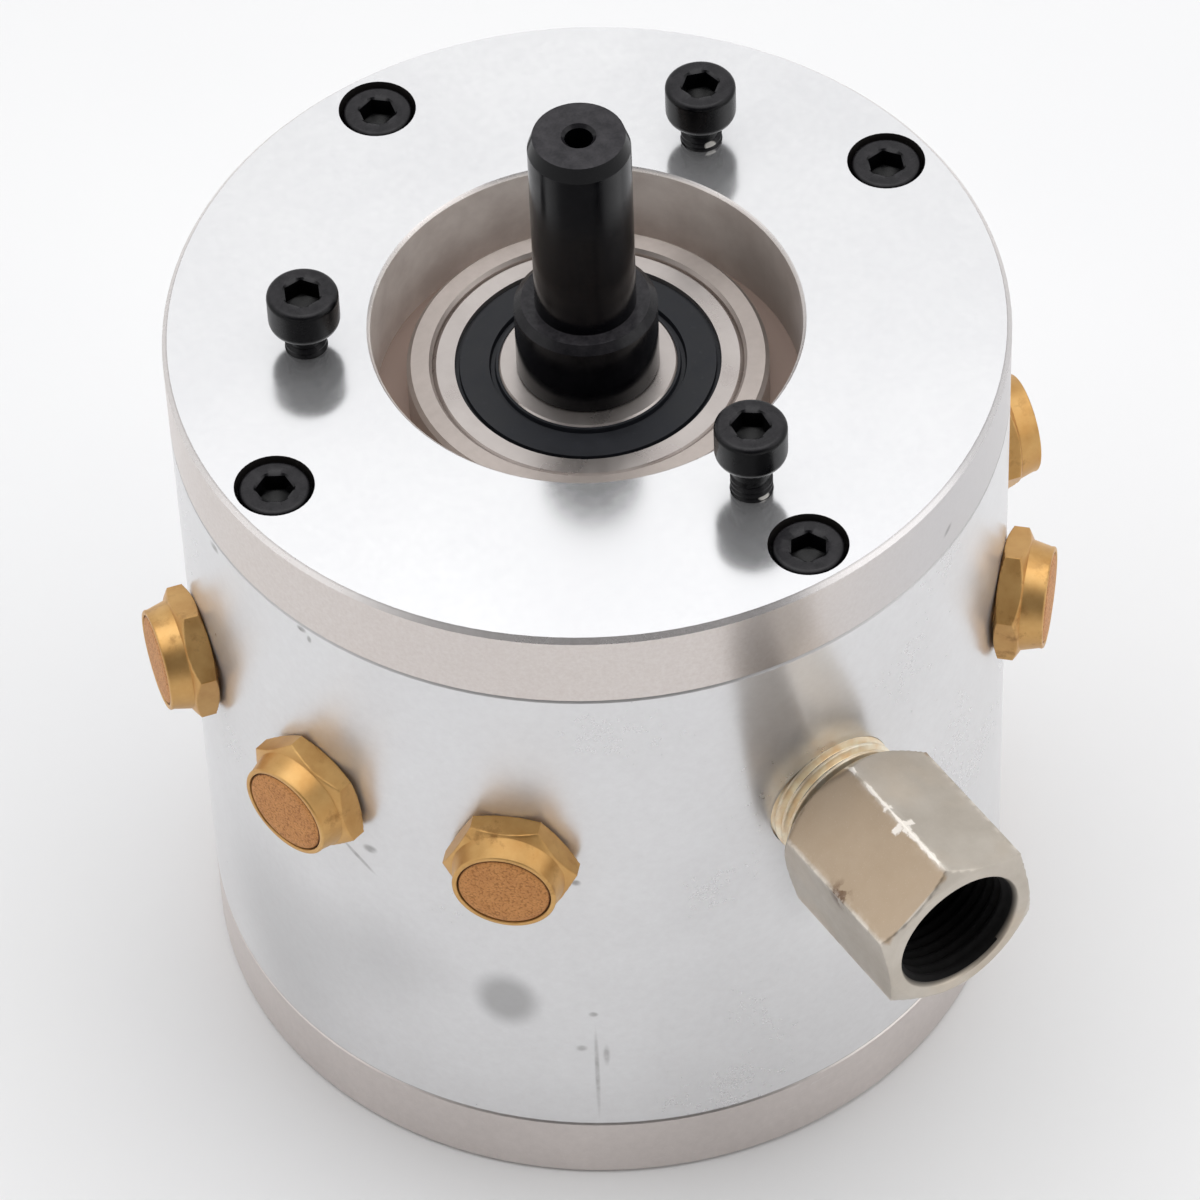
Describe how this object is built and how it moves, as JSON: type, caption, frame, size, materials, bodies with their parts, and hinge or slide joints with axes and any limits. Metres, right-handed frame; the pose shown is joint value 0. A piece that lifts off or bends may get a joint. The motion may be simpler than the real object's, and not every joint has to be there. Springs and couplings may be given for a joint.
{
  "type": "gear air motor",
  "caption": "Round compressed-air gear motor with a plain output shaft in a recessed bearing face, a threaded side inlet and two rows of sintered exhaust silencers.",
  "frame": {"origin": "centre of the flat rear face of the rear cover, on the output shaft's axis", "axes": "+Z along the output shaft away from the rear face, -Y towards the inlet fitting, +X right-handed towards the idler gear inside"},
  "size_m": [0.1112, 0.1256, 0.1311],
  "materials": {
    "cover_aluminium": "fine turned, satin",
    "body_aluminium": "satin, drawn tube",
    "rear_aluminium": "satin, slightly darker",
    "plate_aluminium": "turned",
    "block_iron": "machined",
    "shaft_steel": "black oxide on steel",
    "gear_steel": "hardened and ground",
    "ring_steel": "black oxide on steel",
    "bearing_steel": "ground",
    "ball_steel": "polished",
    "cage_brass": "pressed",
    "seal_rubber": "moulded",
    "bush_bronze": "sintered bronze",
    "screw_steel": "black oxide on steel",
    "fitting_nickel": "nickel plated brass, satin and worn",
    "silencer_brass": "machined",
    "disc_bronze": "sintered bronze grains"
  },
  "bodies": {
    "housing": {"front_cover": "cover_aluminium", "motor_body": "body_aluminium", "rear_cover": "rear_aluminium", "chamber_block": "block_iron", "front_end_plate": "plate_aluminium", "rear_end_plate": "plate_aluminium", "front_bearing_outer_ring": "bearing_steel", "front_bearing_seals": "seal_rubber", "rear_bearing_outer_ring": "bearing_steel", "shaft_lip_seal": "seal_rubber", "idler_bushes": "bush_bronze", "dowel_pins": "gear_steel", "front_ring_seal": "seal_rubber", "rear_ring_seal": "seal_rubber", "front_cover_screws": "screw_steel", "rear_cover_screws": "screw_steel", "mounting_screws": "screw_steel", "inlet_fitting": "fitting_nickel", "silencer_bodies": "silencer_brass", "silencer_discs": "disc_bronze"},
    "output_rotor": {"output_shaft": "shaft_steel", "drive_gear": "gear_steel", "drive_key": "gear_steel", "front_retaining_ring": "ring_steel", "rear_retaining_ring": "ring_steel", "front_bearing_inner_ring": "bearing_steel", "rear_bearing_inner_ring": "bearing_steel"},
    "idler_rotor": {"idler_gear": "gear_steel", "idler_shaft": "gear_steel"},
    "front_ball_set": {"front_bearing_balls": "ball_steel", "front_bearing_cage": "cage_brass"},
    "rear_ball_set": {"rear_bearing_balls": "ball_steel", "rear_bearing_cage": "cage_brass"}
  },
  "joints": [
    {"name": "output_spin", "type": "hinge", "parent": "housing", "child": "output_rotor", "pos_m": [0, 0, 0.05], "axis": [0, 0, 1], "continuous": true},
    {"name": "idler_spin", "type": "hinge", "parent": "housing", "child": "idler_rotor", "pos_m": [0.02275, 0, 0.05], "axis": [0, 0, 1], "continuous": true},
    {"name": "front_balls_orbit", "type": "hinge", "parent": "housing", "child": "front_ball_set", "pos_m": [0, 0, 0.08765], "axis": [0, 0, 1], "continuous": true},
    {"name": "rear_balls_orbit", "type": "hinge", "parent": "housing", "child": "rear_ball_set", "pos_m": [0, 0, 0.016], "axis": [0, 0, 1], "continuous": true}
  ],
  "couplings": [
    {"joint": "idler_spin", "follows": "output_spin", "ratio": -1},
    {"joint": "front_balls_orbit", "follows": "output_spin", "ratio": 0.37041},
    {"joint": "rear_balls_orbit", "follows": "output_spin", "ratio": 0.381}
  ]
}
